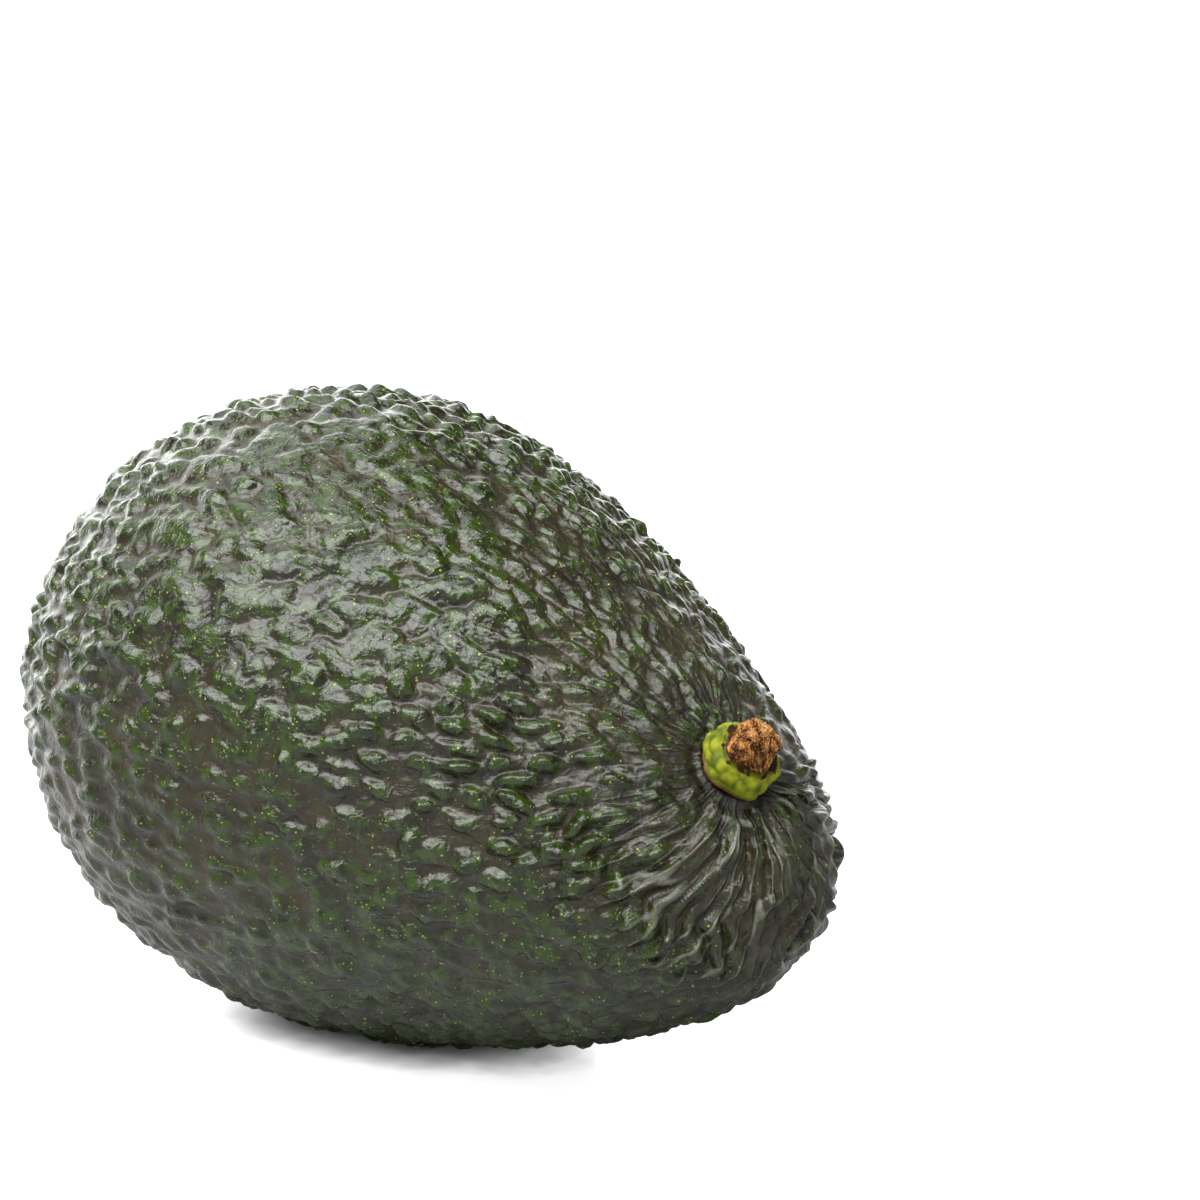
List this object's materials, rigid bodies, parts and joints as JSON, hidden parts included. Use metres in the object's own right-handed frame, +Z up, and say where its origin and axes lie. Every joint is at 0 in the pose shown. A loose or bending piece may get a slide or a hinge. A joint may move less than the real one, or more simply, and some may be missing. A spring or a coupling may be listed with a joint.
{
  "type": "avocado",
  "caption": "Whole uncut avocado with pebbled dark skin and a short dried stalk stub, lying on its side on a small flat rest spot.",
  "frame": {"origin": "middle of the small flat spot that the fruit lies on", "axes": "+X along the fruit towards its stem end, seen from above; +Y across it; +Z up. The fruit's long axis dips 10.5 degrees below +X at the stem end."},
  "size_m": [0.1049, 0.0726, 0.071],
  "materials": {
    "skin": "satin, waxy, pebbled dark green-brown rind",
    "stem": "matt, yellow-green warty stalk with a brown dried cut end"
  },
  "bodies": {
    "root": {"fruit": "skin", "stem": "stem"}
  },
  "joints": []
}
